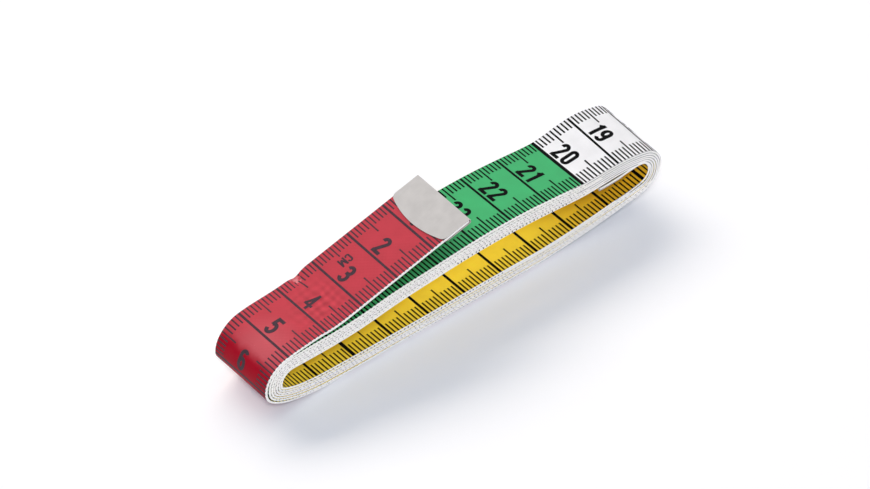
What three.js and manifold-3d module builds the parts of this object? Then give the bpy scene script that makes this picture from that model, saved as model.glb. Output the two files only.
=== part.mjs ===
// Sewing tape measure: a coated-cloth strip wound into a flat oval coil that lies on its long side,
// with a pressed metal cap crimped on each end of the strip. Millimetres, +Z up. The coil is long along X
// and the strip is wide along Y. The origin is on the floor, under the middle of the coil.

import * as THREE from 'three';
import { mergeVertices } from 'three/addons/utils/BufferGeometryUtils.js';
import Module from 'manifold-3d';

// The strip. It is drawn thinner than the real half-millimetre cloth, so that laps at the real spacing stay
// clear of each other.
const tapeWidth = 17;
const tapeThickness = 0.2;
const lapGap = 0.43;
const laps = 6;

// The outermost lap, measured to its outside face. The right end is lifted off the floor.
const coilLength = 108.4;
const leftBendRadius = 7.1;
const leftBendHeight = 7.45;
const rightBendRadius = 6.1;
const rightBendHeight = 9.45;
const leftBendEndAngle = 195;
const rightBendStartAngle = -78;
const rightBendEndAngle = 75;

// The lower run: a ramp down from the left bend, the flat stretch that it stands on, a ramp up to the right.
const leftRampLength = 17;
const leftRampSteepness = 3.5;
const leftRampEase = 10;
const rightRampLength = 31;
const rightRampEase = 6;
const rightRampSteepness = 10;

// The upper run: a hump by the right bend, a shallow dip, the crest and a flat shoulder by the left bend.
// The pulls are the shares of each stretch over which the run keeps its heading.
const humpSetback = 7;
const humpHeight = 16.7;
const dipSetback = 9;
const dipHeight = 16.2;
const crestX = 8;
const crestHeight = 17.6;
const shoulderLength = 7;
const humpPull = 0.25;
const runPull = 0.5;
const fallPull = 0.42;

// The loose outer end: it leaves the left bend, lies flat, kinks at its second flexure and rises to its tip.
const leadAngle = 10;
const leadLength = 2.4;
const layAngle = 3.5;
const flexureSpacing = 10.5;
const risingFlexures = 3;
const tipSegmentLength = 16;
const tipLift = 6.8;
const flexureGap = 0.3;

// The loose inner end, straight from the right bend's top into the eye.
const innerEndAngle = 1;
const innerLead = 0.9;
const innerEndLength = 10.4;

// The metal caps: one sheet folded round the strip's end, with a bowed inner edge on both plates.
const capSheet = 0.35;
const crimpClearance = 0.15;
const capOverhang = 0.15;
const capSideLength = 7.5;
const capBow = 1.7;

// Steps along the bends, the ramps and the runs, and round the caps.
const bendStep = 15;
const curveSteps = 8;
const flatSteps = 3;
const foldSteps = 8;
const bowSteps = 16;
const weldDistance = 1e-4;

const pitch = tapeThickness + lapGap;
const radians = THREE.MathUtils.degToRad;
const wasm = await Module();
wasm.setup();

// A direction in the XZ plane, from its angle above +X in degrees.
function heading(angle) {
  return new THREE.Vector2(Math.cos(radians(angle)), Math.sin(radians(angle)));
}

function along(start, angle, distance) {
  return start.clone().addScaledVector(heading(angle), distance);
}

// Stations hold a point of the centreline and the heading of the strip there, in degrees.
function arcStations(centre, radius, startAngle, endAngle) {
  const steps = Math.round((endAngle - startAngle) / bendStep);
  return Array.from({ length: steps + 1 }, (_, step) => {
    const angle = startAngle + ((endAngle - startAngle) * step) / steps;
    return { point: along(centre, angle, radius), angle: angle + 90 };
  });
}

// Stations of a smooth run between two of them, without its own ends.
function runStations(start, end, startPull, endPull) {
  const curve = new THREE.CubicBezierCurve(
    start.point,
    along(start.point, start.angle, startPull),
    along(end.point, end.angle, -endPull),
    end.point,
  );
  return Array.from({ length: curveSteps - 1 }, (_, step) => {
    const share = (step + 1) / curveSteps;
    const tangent = curve.getTangent(share);
    const angle = THREE.MathUtils.radToDeg(Math.atan2(tangent.y, tangent.x));
    return { point: curve.getPoint(share), angle };
  });
}

// The centreline of the outermost lap, down the left bend, along the floor, up the right bend and back
// along the top. The whole loop turns to its left, so its inside is always to the left of the heading.
const half = tapeThickness / 2;
const leftCentre = new THREE.Vector2(leftBendRadius - coilLength / 2, leftBendHeight);
const rightCentre = new THREE.Vector2(coilLength / 2 - rightBendRadius, rightBendHeight);
const leftRadius = leftBendRadius - half;
const rightRadius = rightBendRadius - half;
const humpX = rightCentre.x - humpSetback;
const dipX = humpX - dipSetback;
const shoulderX = leftCentre.x + shoulderLength;

function outermostLap() {
  const leftBend = arcStations(leftCentre, leftRadius, 90, leftBendEndAngle);
  const rightBend = arcStations(rightCentre, rightRadius, rightBendStartAngle, rightBendEndAngle);
  const rampFoot = new THREE.Vector2(leftBend.at(-1).point.x + leftRampLength, half);
  const rampStart = new THREE.Vector2(rightBend[0].point.x - rightRampLength, half);
  const floor = Array.from({ length: flatSteps + 1 }, (_, step) => ({
    point: rampFoot.clone().lerp(rampStart, step / flatSteps),
    angle: 0,
  }));
  const hump = { point: new THREE.Vector2(humpX, humpHeight - half), angle: 180 };
  const dip = { point: new THREE.Vector2(dipX, dipHeight - half), angle: 180 };
  const crest = { point: new THREE.Vector2(crestX, crestHeight - half), angle: 180 };
  const shoulder = { point: new THREE.Vector2(shoulderX, leftCentre.y + leftRadius), angle: 180 };
  const humpEase = dipSetback * humpPull;
  const waveEase = dipSetback * runPull;
  const crestEase = (dipX - crestX) * runPull;
  const fallEase = (crestX - shoulderX) * fallPull;
  return {
    lower: [
      ...leftBend,
      ...runStations(leftBend.at(-1), floor[0], leftRampSteepness, leftRampEase),
      ...floor,
      ...runStations(floor.at(-1), rightBend[0], rightRampEase, rightRampSteepness),
    ],
    rightBend,
    upper: [
      ...runStations(rightBend.at(-1), hump, waveEase, humpEase),
      hump,
      ...runStations(hump, dip, waveEase, waveEase),
      dip,
      ...runStations(dip, crest, waveEase, crestEase),
      crest,
      ...runStations(crest, shoulder, fallEase, fallEase),
      shoulder,
    ],
  };
}

// A station moved to the inside of the coil by a number of lap spacings.
function inward(station, count) {
  return { ...station, point: along(station.point, station.angle + 90, pitch * count) };
}

// Each lap passes under the one before it while it crosses the upper run.
function crossing(station) {
  return THREE.MathUtils.smoothstep(-station.point.x, -dipX, -shoulderX);
}

// The loose outer end, from the first flexure to the tip.
const leadStart = { point: along(leftCentre, 90 + leadAngle, leftRadius), angle: 180 + leadAngle };
const firstFlexure = along(leadStart.point, leadAngle, leadLength);
const kink = along(firstFlexure, layAngle, flexureSpacing);
const risingLength = flexureSpacing * (risingFlexures - 1) + tipSegmentLength;
const riseAngle = THREE.MathUtils.radToDeg(Math.asin((crestHeight + tipLift - kink.y) / risingLength));
const flexures = [firstFlexure];
for (let count = 0; count < risingFlexures; count += 1) {
  flexures.push(along(kink, riseAngle, flexureSpacing * count));
}
const outerTip = along(kink, riseAngle, risingLength);

// The wound laps in one path, from the first flexure to the flexure of the inner end.
const lap = outermostLap();
const innerBendRadius = rightRadius - pitch * laps;
const innerBend = arcStations(rightCentre, innerBendRadius, rightBendStartAngle, 90 + innerEndAngle);
const innerHeading = 180 + innerEndAngle;
const innerFlexure = along(innerBend.at(-1).point, innerHeading, innerLead);
const innerTip = along(innerFlexure, innerHeading, innerEndLength);

function woundStations() {
  const pastLead = lap.lower.filter(({ angle }) => angle < 180 || angle > leadStart.angle);
  const stations = [
    { point: along(firstFlexure, 180 + leadAngle, flexureGap / 2), angle: leadStart.angle },
    leadStart,
    ...pastLead,
    ...lap.rightBend,
  ];
  for (let count = 0; count < laps; count += 1) {
    stations.push(...lap.upper.map((station) => inward(station, count + crossing(station))));
    stations.push(...lap.lower.map((station) => inward(station, count + 1)));
    if (count < laps - 1) {
      stations.push(...lap.rightBend.map((station) => inward(station, count + 1)));
    }
  }
  stations.push(...innerBend);
  stations.push({ point: along(innerFlexure, innerHeading, -flexureGap / 2), angle: innerHeading });
  return stations;
}

// A closed strip of rectangular section along a path in the XZ plane.
function stripGeometry(stations) {
  const positions = [];
  const triangles = [];
  const quad = (a, b, c, d) => triangles.push(a, b, c, a, c, d);
  for (const { point, angle } of stations) {
    const inner = along(point, angle + 90, half);
    const outer = along(point, angle + 90, -half);
    for (const edge of [-tapeWidth / 2, tapeWidth / 2]) {
      positions.push(outer.x, edge, outer.y, inner.x, edge, inner.y);
    }
  }
  const last = 4 * (stations.length - 1);
  for (let a = 0; a < last; a += 4) {
    const b = a + 4;
    quad(a, b, b + 1, a + 1);
    quad(a + 1, b + 1, b + 3, a + 3);
    quad(a + 3, b + 3, b + 2, a + 2);
    quad(a + 2, b + 2, b, a);
  }
  quad(0, 1, 3, 2);
  quad(last, last + 2, last + 3, last + 1);
  const geometry = new THREE.BufferGeometry();
  geometry.setAttribute('position', new THREE.Float32BufferAttribute(positions, 3));
  geometry.setIndex(triangles);
  geometry.computeVertexNormals();
  return geometry;
}

// A straight stretch of strip between two points, cut back at its two ends.
function straightStrip(start, end, startGap, endGap) {
  const direction = end.clone().sub(start);
  const angle = THREE.MathUtils.radToDeg(Math.atan2(direction.y, direction.x));
  return stripGeometry([
    { point: along(start, angle, startGap), angle },
    { point: along(end, angle, -endGap), angle },
  ]);
}

function toSolid(geometry) {
  const bare = geometry.clone();
  bare.deleteAttribute('normal');
  bare.deleteAttribute('uv');
  const merged = mergeVertices(bare, weldDistance);
  return new wasm.Manifold(new wasm.Mesh({
    numProp: 3,
    vertProperties: new Float32Array(merged.getAttribute('position').array),
    triVerts: new Uint32Array(merged.getIndex().array),
  }));
}

function toGeometry(solid) {
  const mesh = solid.getMesh();
  const geometry = new THREE.BufferGeometry();
  geometry.setAttribute('position', new THREE.BufferAttribute(mesh.vertProperties, 3));
  geometry.setIndex(new THREE.BufferAttribute(mesh.triVerts, 1));
  geometry.computeVertexNormals();
  return geometry;
}

// A cap with its fold at the origin. Its plates run along -X, over and under the strip.
const capWidth = tapeWidth + 2 * capOverhang;
const foldInside = half + crimpClearance;
const foldOutside = foldInside + capSheet;

function capGeometry() {
  const length = capSideLength + capBow;
  const fold = new THREE.Shape();
  fold.moveTo(-length, -foldOutside);
  fold.lineTo(-foldOutside, -foldOutside);
  fold.absarc(-foldOutside, 0, foldOutside, -Math.PI / 2, Math.PI / 2, false);
  fold.lineTo(-length, foldOutside);
  fold.lineTo(-length, foldInside);
  fold.lineTo(-foldOutside, foldInside);
  fold.absarc(-foldOutside, 0, foldInside, Math.PI / 2, -Math.PI / 2, true);
  fold.lineTo(-length, -foldInside);
  const flatSides = { bevelEnabled: false };
  const foldSolid = new THREE.ExtrudeGeometry(fold, { depth: capWidth, curveSegments: foldSteps, ...flatSides });
  foldSolid.rotateX(Math.PI / 2);
  foldSolid.translate(0, capWidth / 2, 0);

  const bowRadius = (capWidth ** 2 / 4 + capBow ** 2) / (2 * capBow);
  const bowAngle = Math.asin(capWidth / 2 / bowRadius);
  const plan = new THREE.Shape();
  plan.moveTo(foldOutside, -capWidth);
  plan.lineTo(foldOutside, capWidth);
  plan.lineTo(-capSideLength, capWidth);
  plan.lineTo(-capSideLength, capWidth / 2);
  plan.absarc(bowRadius - length, 0, bowRadius, Math.PI - bowAngle, Math.PI + bowAngle, false);
  plan.lineTo(-capSideLength, -capWidth);
  const planHeight = 4 * foldOutside;
  const planSolid = new THREE.ExtrudeGeometry(plan, { depth: planHeight, curveSegments: bowSteps, ...flatSides });
  planSolid.translate(0, 0, -planHeight / 2);
  return toGeometry(toSolid(foldSolid).intersect(toSolid(planSolid)));
}

function distanceToSegment(point, start, end) {
  const run = end.clone().sub(start);
  const share = point.clone().sub(start).dot(run) / run.lengthSq();
  return point.distanceTo(start.clone().addScaledVector(run, THREE.MathUtils.clamp(share, 0, 1)));
}

// The least clear distance between laps: from each station to every stretch at least half a lap further on
// or back along the strip.
function leastLapGap(stations) {
  const halfLap = Math.floor(stations.length / (laps + 1) / 2);
  let least = Infinity;
  stations.forEach(({ point }, index) => {
    for (let next = 1; next < stations.length; next += 1) {
      if (Math.abs(next - index) > halfLap) {
        least = Math.min(least, distanceToSegment(point, stations[next - 1].point, stations[next].point));
      }
    }
  });
  return least - tapeThickness;
}

function pathLength(stations) {
  return stations.slice(1).reduce((sum, { point }, index) => sum + point.distanceTo(stations[index].point), 0);
}

const satin = { roughness: 0.45, metalness: 0 };
const whiteCloth = new THREE.MeshStandardMaterial({ color: 0xeeedf3, ...satin });
const redCloth = new THREE.MeshStandardMaterial({ color: 0xd03e4b, ...satin });
const greenCloth = new THREE.MeshStandardMaterial({ color: 0x48bb78, ...satin });
const platedSteel = new THREE.MeshStandardMaterial({ color: 0xcfcbcb, roughness: 0.3, metalness: 1 });

const tapeMeasure = new THREE.Group();

function addPiece(name, geometry, material, parent = tapeMeasure) {
  const mesh = new THREE.Mesh(geometry, material.clone());
  mesh.name = name;
  parent.add(mesh);
}

// A cap in its own frame at a tip of the strip, turned to the strip's heading there.
function addCap(name, tip, angle) {
  const seat = new THREE.Group();
  seat.position.set(tip.x, 0, tip.y);
  seat.rotation.y = -radians(angle);
  tapeMeasure.add(seat);
  addPiece(name, capGeometry(), platedSteel, seat);
}

const wound = woundStations();
addPiece('tape_coil', stripGeometry(wound), whiteCloth);

const outerPoints = [...flexures, outerTip];
const tipInset = capSheet + crimpClearance;
flexures.forEach((flexure, index) => {
  const endGap = index === flexures.length - 1 ? tipInset : flexureGap / 2;
  const strip = straightStrip(flexure, outerPoints[index + 1], flexureGap / 2, endGap);
  addPiece(`tape_free_end_${index + 1}`, strip, redCloth);
});
addCap('end_cap', outerTip, riseAngle);

addPiece('tape_inner_end', straightStrip(innerFlexure, innerTip, flexureGap / 2, tipInset), greenCloth);
addCap('inner_end_cap', innerTip, innerHeading);

const tapeLength = outerTip.distanceTo(kink) + kink.distanceTo(firstFlexure)
  + pathLength(wound) + flexureGap + innerFlexure.distanceTo(innerTip);
console.log(`least gap between laps ${leastLapGap(wound).toFixed(3)} mm`);
console.log(`strip length ${tapeLength.toFixed(1)} mm`);
for (const { x, y } of [...flexures, innerFlexure]) {
  console.log(`flexure across the strip at x ${x.toFixed(3)}, z ${y.toFixed(3)} mm`);
}

export default tapeMeasure;
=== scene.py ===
# %% [markdown]
# # A tailor's tape measure
# One strip of vinyl-coated cloth, a metre and a half long, lies wound into a flat oval coil, with a pressed
# metal cap on each end. The imported solids are the fixed frame: they carry the hinges and the collision. This
# lesson dresses them: every piece stands where a solid stands, and the coil and caps move with its bodies.

# %% Load the imported model
import math

import bpy
import numpy as np
from mathutils import Matrix, Vector


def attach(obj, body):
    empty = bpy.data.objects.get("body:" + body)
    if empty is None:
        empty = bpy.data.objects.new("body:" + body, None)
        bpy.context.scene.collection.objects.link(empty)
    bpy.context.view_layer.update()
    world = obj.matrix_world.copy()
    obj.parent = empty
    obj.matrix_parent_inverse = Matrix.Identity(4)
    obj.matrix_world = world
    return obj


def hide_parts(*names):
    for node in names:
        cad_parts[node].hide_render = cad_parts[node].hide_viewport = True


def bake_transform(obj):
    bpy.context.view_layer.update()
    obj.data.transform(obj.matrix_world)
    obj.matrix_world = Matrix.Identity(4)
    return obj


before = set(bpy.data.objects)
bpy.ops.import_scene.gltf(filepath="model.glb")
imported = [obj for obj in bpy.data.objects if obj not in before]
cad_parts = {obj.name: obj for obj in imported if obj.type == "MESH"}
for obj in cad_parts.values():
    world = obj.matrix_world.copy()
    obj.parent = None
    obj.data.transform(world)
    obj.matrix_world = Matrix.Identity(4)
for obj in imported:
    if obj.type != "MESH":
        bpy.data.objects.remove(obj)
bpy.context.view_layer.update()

# %% [markdown]
# ## The sizes of the strip
# The winding repeats the measures of the solids, in millimetres, so the strip follows the same centreline.
# The cloth here has its real thickness. The solids are thinner, to keep the laps clear of each other.

# %% Sizes, in millimetres
MM = 0.001
TAPE_WIDTH = 17.0
TAPE_THICKNESS = 0.54
CENTRE_DEPTH = 0.1
LAP_SPACING = 0.63
LAPS = 6
COIL_LENGTH = 108.4
LEFT_RADIUS, LEFT_HEIGHT, LEFT_END = 7.1, 7.45, 195
RIGHT_RADIUS, RIGHT_HEIGHT, RIGHT_START, RIGHT_END = 6.1, 9.45, -78, 75
LEFT_RAMP, LEFT_STEEPNESS, LEFT_EASE = 17, 3.5, 10
RIGHT_RAMP, RIGHT_EASE, RIGHT_STEEPNESS = 31, 6, 10
HUMP_SETBACK, HUMP_HEIGHT = 7, 16.7
DIP_SETBACK, DIP_HEIGHT = 9, 16.2
CREST_X, CREST_HEIGHT = 8, 17.6
SHOULDER_LENGTH = 7
HUMP_PULL, RUN_PULL, FALL_PULL = 0.25, 0.5, 0.42
LEAD_ANGLE, LEAD_LENGTH, LAY_ANGLE = 10, 2.4, 3.5
FLEXURE_SPACING, TIP_SEGMENT, TIP_LIFT = 10.5, 16, 6.8
INNER_ANGLE, INNER_LEAD, INNER_LENGTH = 1, 0.9, 10.4
print(f"strip {TAPE_WIDTH} mm wide, {TAPE_THICKNESS} mm thick, {LAPS} laps")

# %% [markdown]
# ## The path of the strip
# A coil could be drawn as a curve object, but every printed mark has to know how far along the strip it is.
# So the path is worked out as points: arcs for the bends, cubic runs between them, and each lap one spacing
# further in than the last. The strip drops to the next lap while it crosses the top.

# %% Stations along the winding
BEND_STEP = 3
RUN_STEPS = 40


def along(point, angle, distance):
    turn = math.radians(angle)
    return np.asarray(point, float) + distance * np.array([math.cos(turn), math.sin(turn)])


def bend(centre, radius, first, last):
    steps = max(2, round((last - first) / BEND_STEP))
    return [(along(centre, angle, radius), angle + 90) for angle in np.linspace(first, last, steps + 1)]


def run(start, end, start_pull, end_pull):
    a, d = start[0], end[0]
    b, c = along(a, start[1], start_pull), along(d, end[1], -end_pull)
    stations = []
    for t in np.arange(1, RUN_STEPS) / RUN_STEPS:
        u = 1 - t
        point = u**3 * a + 3 * u * u * t * b + 3 * u * t * t * c + t**3 * d
        slope = u * u * (b - a) + 2 * u * t * (c - b) + t * t * (d - c)
        stations.append((point, math.degrees(math.atan2(slope[1], slope[0]))))
    return stations


left_centre = np.array([LEFT_RADIUS - COIL_LENGTH / 2, LEFT_HEIGHT])
right_centre = np.array([COIL_LENGTH / 2 - RIGHT_RADIUS, RIGHT_HEIGHT])
left_radius = LEFT_RADIUS - CENTRE_DEPTH
right_radius = RIGHT_RADIUS - CENTRE_DEPTH
hump_x = right_centre[0] - HUMP_SETBACK
dip_x = hump_x - DIP_SETBACK
shoulder_x = left_centre[0] + SHOULDER_LENGTH
print(f"bends round x = {left_centre[0]:.1f} and {right_centre[0]:.1f} mm")

# %% The outermost lap
left_bend = bend(left_centre, left_radius, 90, LEFT_END)
right_bend = bend(right_centre, right_radius, RIGHT_START, RIGHT_END)
ramp_foot = (np.array([left_bend[-1][0][0] + LEFT_RAMP, CENTRE_DEPTH]), 0.0)
ramp_start = (np.array([right_bend[0][0][0] - RIGHT_RAMP, CENTRE_DEPTH]), 0.0)
hump = (np.array([hump_x, HUMP_HEIGHT - CENTRE_DEPTH]), 180.0)
dip = (np.array([dip_x, DIP_HEIGHT - CENTRE_DEPTH]), 180.0)
crest = (np.array([CREST_X, CREST_HEIGHT - CENTRE_DEPTH]), 180.0)
shoulder = (np.array([shoulder_x, LEFT_HEIGHT + left_radius]), 180.0)
wave = DIP_SETBACK * RUN_PULL
fall = (CREST_X - shoulder_x) * FALL_PULL
lower = [
    *left_bend,
    *run(left_bend[-1], ramp_foot, LEFT_STEEPNESS, LEFT_EASE),
    ramp_foot,
    ramp_start,
    *run(ramp_start, right_bend[0], RIGHT_EASE, RIGHT_STEEPNESS),
]
upper = [
    *run(right_bend[-1], hump, wave, DIP_SETBACK * HUMP_PULL),
    hump,
    *run(hump, dip, wave, wave),
    dip,
    *run(dip, crest, wave, (dip_x - CREST_X) * RUN_PULL),
    crest,
    *run(crest, shoulder, fall, fall),
    shoulder,
]
print(len(lower), "stations below and", len(upper), "above")

# %% The loose ends and the whole path
CORNER_CUT, CORNER_POINTS = 2.0, 9


def smooth(value, low, high):
    t = np.clip((value - low) / (high - low), 0, 1)
    return t * t * (3 - 2 * t)


def inward(station, count):
    return along(station[0], station[1] + 90, LAP_SPACING * count)


def crossing(station):
    return smooth(-station[0][0], -dip_x, -shoulder_x)


def cut_corners(points):
    rounded = [points[0]]
    for before, corner, after in zip(points, points[1:], points[2:]):
        a = corner + CORNER_CUT * (before - corner) / np.linalg.norm(before - corner)
        b = corner + CORNER_CUT * (after - corner) / np.linalg.norm(after - corner)
        for t in np.linspace(0, 1, CORNER_POINTS):
            rounded.append((1 - t) ** 2 * a + 2 * t * (1 - t) * corner + t * t * b)
    return rounded


lead_angle = 180 + LEAD_ANGLE
lead_start = along(left_centre, 90 + LEAD_ANGLE, left_radius)
first_flexure = along(lead_start, LEAD_ANGLE, LEAD_LENGTH)
kink = along(first_flexure, LAY_ANGLE, FLEXURE_SPACING)
rise_length = 2 * FLEXURE_SPACING + TIP_SEGMENT
rise_angle = math.degrees(math.asin((CREST_HEIGHT + TIP_LIFT - kink[1]) / rise_length))
tip = along(kink, rise_angle, rise_length)

points = cut_corners([tip, kink, first_flexure, lead_start])
points += [station[0] for station in lower if station[1] < 180 or station[1] > lead_angle]
points += [station[0] for station in right_bend]
for count in range(LAPS):
    points += [inward(station, count + crossing(station)) for station in upper]
    points += [inward(station, count + 1) for station in lower]
    if count < LAPS - 1:
        points += [inward(station, count + 1) for station in right_bend]
inner_bend = bend(right_centre, right_radius - LAP_SPACING * LAPS, RIGHT_START, 90 + INNER_ANGLE)
points += [station[0] for station in inner_bend]
inner_flexure = along(points[-1], 180 + INNER_ANGLE, INNER_LEAD)
points.append(along(inner_flexure, 180 + INNER_ANGLE, INNER_LENGTH))
print(len(points), "points from the tip to the inner end")

# %% [markdown]
# ## From flat to wound
# The strip is printed flat and then wound. The same is done here: pieces are laid out flat, with the distance
# along the strip, the place across it and the height over its middle, and one function winds them all. It
# also gives the coil what a ruler-straight winding lacks, each by a few tenths of a millimetre: laps that
# drift sideways and lie closer round the right bend, a right end that leans up on its far side, a loose end
# that rolls, a fuller crest, a left bend pressed out of round, and a dent in the far edge at the kink.

# %% Measure the path
PATH_STEP = 0.1
ANGLE_WINDOW = 9
END_MARGIN = 2.0
SAME_POINT = 1e-6

path = np.array(points)
spans = np.linalg.norm(np.diff(path, axis=0), axis=1)
path = path[np.r_[True, spans > SAME_POINT]]
travel = np.r_[0, np.cumsum(np.linalg.norm(np.diff(path, axis=0), axis=1))]
STRIP_LENGTH = float(travel[-1])
before_tip = along(path[0], rise_angle, END_MARGIN)
after_end = along(path[-1], 180 + INNER_ANGLE, END_MARGIN)
path = np.vstack([before_tip, path, after_end])
travel = np.r_[-END_MARGIN, travel, STRIP_LENGTH + END_MARGIN]

path_s = np.arange(-END_MARGIN, STRIP_LENGTH + END_MARGIN, PATH_STEP)
path_x = np.interp(path_s, travel, path[:, 0])
path_z = np.interp(path_s, travel, path[:, 1])
turns = np.unwrap(np.arctan2(np.gradient(path_z), np.gradient(path_x)))
padded = np.pad(turns, ANGLE_WINDOW // 2, "edge")
path_turn = np.convolve(padded, np.ones(ANGLE_WINDOW) / ANGLE_WINDOW, "valid")
right_turn = path_turn[np.argmax(path_x)]
print(f"path {STRIP_LENGTH:.1f} mm long")

# %% Wind flat points onto the path
DRIFT, DRIFT_WAVES, DRIFT_FROM, DRIFT_TO = 0.05, (53.0, 171.0), (60.0, 120.0), (-60.0, -20.0)
STEP_BACK, STEP_BACK_FROM, STEP_BACK_TO = 0.55, (78.0, 88.0), (162.0, 178.0)
LEAN, LEAN_X, LEAN_Z = 1.2, (30.0, 48.0), (6.0, 15.0)
NEAR_DROP, NEAR_DROP_X, NEAR_DROP_WIDTH = 0.4, 41.0, 7.0
SLIP_AT = (0, 20, 30, 40, 50, 62, 85, 150, 300, 600)
SLIP_BY = (-0.05, -0.1, -0.33, -0.63, -0.23, -0.27, 0, 0.6, 0.6, 0)
LOOSE_LAP, LOOSE_FROM, LOOSE_TO = 0.22, (54.0, 60.0), (66.0, 78.0)
ROLL, ROLL_SPAN = 0.6, (34.0, 43.0)
CREST_FILL, CREST_FILL_X, CREST_FILL_WIDTH = 0.58, -20.0, 8.0
LEFT_TUCK, LEFT_SQUASH, LEFT_X = 0.3, 0.35, (38.0, 50.0)
LEFT_LIFT, LEFT_LIFT_X, LEFT_LIFT_Z = 0.3, (26.0, 44.0), (2.0, 6.0)
UNDERCUT, UNDERCUT_NEAR, UNDERCUT_GAIN = 0.85, 0.55, 0.9
UNDERCUT_X, UNDERCUT_Z = (44.0, 52.0), (2.5, 7.0)
RIGHT_PACK, RIGHT_PACK_X = 0.075, (38.0, 50.0)
INNER_RISE, INNER_RISE_SPAN = 0.8, (-24.0, -9.0)
DENT, DENT_AT, DENT_LENGTH, DENT_FROM = 0.75, 34.8, 1.5, 3.5


def swell(value, centre, width):
    return np.exp(-(((value - centre) / width) ** 2))


def sideways(s):
    drift = sum(DRIFT * np.sin(2 * math.pi * s / length) for length in DRIFT_WAVES)
    settled = smooth(s, *DRIFT_FROM) * (1 - smooth(s - STRIP_LENGTH, *DRIFT_TO))
    return drift * settled + STEP_BACK * smooth(s, *STEP_BACK_FROM) * (1 - smooth(s, *STEP_BACK_TO))


def wound(s, y, n):
    """Points of the frame, in metres, for flat ones in mm: along, across and over the strip's middle."""
    s, y, n = (np.asarray(value, float) for value in (s, y, n))
    share = y / TAPE_WIDTH + 0.5
    on_coil = smooth(s, *ROLL_SPAN)
    slipped = s + np.interp(s, SLIP_AT, SLIP_BY)
    turn, x, z = (np.interp(slipped, path_s, values) for values in (path_turn, path_x, path_z))
    lap = np.maximum(0, (turn - right_turn) / (2 * math.pi))
    n = n + LOOSE_LAP * smooth(s, *LOOSE_FROM) * (1 - smooth(s, *LOOSE_TO))
    n = n + RIGHT_PACK * lap * smooth(x, *RIGHT_PACK_X)
    x = x + n * np.sin(turn)
    z = z - n * np.cos(turn)
    height = smooth(z, *LEAN_Z)
    z = z + LEAN * share * smooth(x, *LEAN_X) * height
    z = z - NEAR_DROP * (1 - share) * swell(x, NEAR_DROP_X, NEAR_DROP_WIDTH) * height
    z = z + ROLL * (share - 0.5) * (1 - on_coil)
    z = z + CREST_FILL * swell(x, CREST_FILL_X, CREST_FILL_WIDTH) * height * on_coil
    z = z - DENT * swell(s, DENT_AT, DENT_LENGTH) * smooth(y, DENT_FROM, TAPE_WIDTH / 2)
    z = z + INNER_RISE * smooth(s - STRIP_LENGTH, *INNER_RISE_SPAN)
    off_middle = (z - LEFT_HEIGHT) / LEFT_RADIUS
    low = LEFT_LIFT * smooth(-x, *LEFT_LIFT_X) * (1 - smooth(z, *LEFT_LIFT_Z))
    under = UNDERCUT * (UNDERCUT_NEAR + UNDERCUT_GAIN * share)
    under = under * smooth(-x, *UNDERCUT_X) * (1 - smooth(z, *UNDERCUT_Z))
    z = z - LEFT_SQUASH * (1 - share) * off_middle**3 * smooth(-x, *LEFT_X) * on_coil + low
    x = x + LEFT_TUCK * smooth(-x, *LEFT_X) + under
    return np.stack([x, y + sideways(s), z], axis=-1) * MM


def middle(s):
    return Vector(wound(s, 0.0, 0.0))


print(f"tip at {tuple(round(c / MM, 2) for c in middle(0))} mm")

# %% [markdown]
# ## Helpers for nodes, colours and meshes
# Shader trees and geometry trees are built from the same small function: it adds a node, sets it, and links
# or fills its inputs. Colours are written as the sRGB hex values that a paint program shows, and turned to
# the linear values that Blender computes with.

# %% Helpers


def linear(code):
    channels = [int(code[i : i + 2], 16) / 255 for i in (0, 2, 4)]
    return (*[c / 12.92 if c <= 0.04045 else ((c + 0.055) / 1.055) ** 2.4 for c in channels], 1.0)


def add(tree, kind, inputs=None, **settings):
    """A new node. An input may be a value, another node's socket, or a node, which gives its first output."""
    made = tree.nodes.new(kind)
    for name, value in settings.items():
        setattr(made, name, value)
    for key, value in (inputs or {}).items():
        if isinstance(value, bpy.types.Node):
            value = value.outputs[0]
        if isinstance(value, bpy.types.NodeSocket):
            tree.links.new(value, made.inputs[key])
        else:
            made.inputs[key].default_value = value
    return made


def new_material(name):
    material = bpy.data.materials.new(name)
    material.use_nodes = True
    material.node_tree.nodes.clear()
    return material, material.node_tree


def new_mesh(name, points, faces, materials, slots):
    mesh = bpy.data.meshes.new(name)
    mesh.from_pydata(points, [], faces)
    for material in materials:
        mesh.materials.append(material)
    mesh.polygons.foreach_set("material_index", slots)
    mesh.update()
    return mesh


def new_object(name, data):
    piece = bpy.data.objects.new(name, data)
    bpy.context.scene.collection.objects.link(piece)
    return piece


print(f"sRGB 808080 is {linear('808080')[0]:.3f} in linear light")

# %% [markdown]
# ## Vinyl-coated cloth
# The strip is glass-fibre cloth with a satin vinyl coat on both faces, printed in the colour of its decade.
# The eye gets an even, nearly matt colour with a slight mottle, and here and there a faint grid of threads.
# The real threads are about 0.55 mm apart, which is only two pixels here, so the grid is drawn at 1.1 mm to
# show at all. It follows the strip's own map, whose two numbers are millimetres along and across. Where
# fingers have creased the red, it shows lighter and darker diamonds: painted highlight and shade over a real
# bump. It pales where it is scuffed, and a painted sheen pales the top of the bend; round the bend it is
# deeper, which is painted shade. Yellow turns to amber in the tight bend inside, which is painted shade too.

# %% Wear on the coat, and painted light and shade
CREASE_MM, CREASE_AT, CREASE_REACH = 2.7, (36.0, -1.5, 0.0), (2.0, 8.0)
CREASE_BUMP = {"Strength": 0.6, "Distance": 0.06 * MM}
# A paler red on the top of the left bend is a painted sheen.
PAINTED_SHEEN, PAINTED_SHEEN_AT, PAINTED_SHEEN_REACH = 0.13, (53.5, -1.0, 0.0), (2.0, 9.0)
SCUFF_MM, RUB_AT, RUB_REACH = 0.7, (DENT_AT + 0.5, TAPE_WIDTH / 2 - 0.9, 0.0), (0.3, 2.6)
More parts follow.
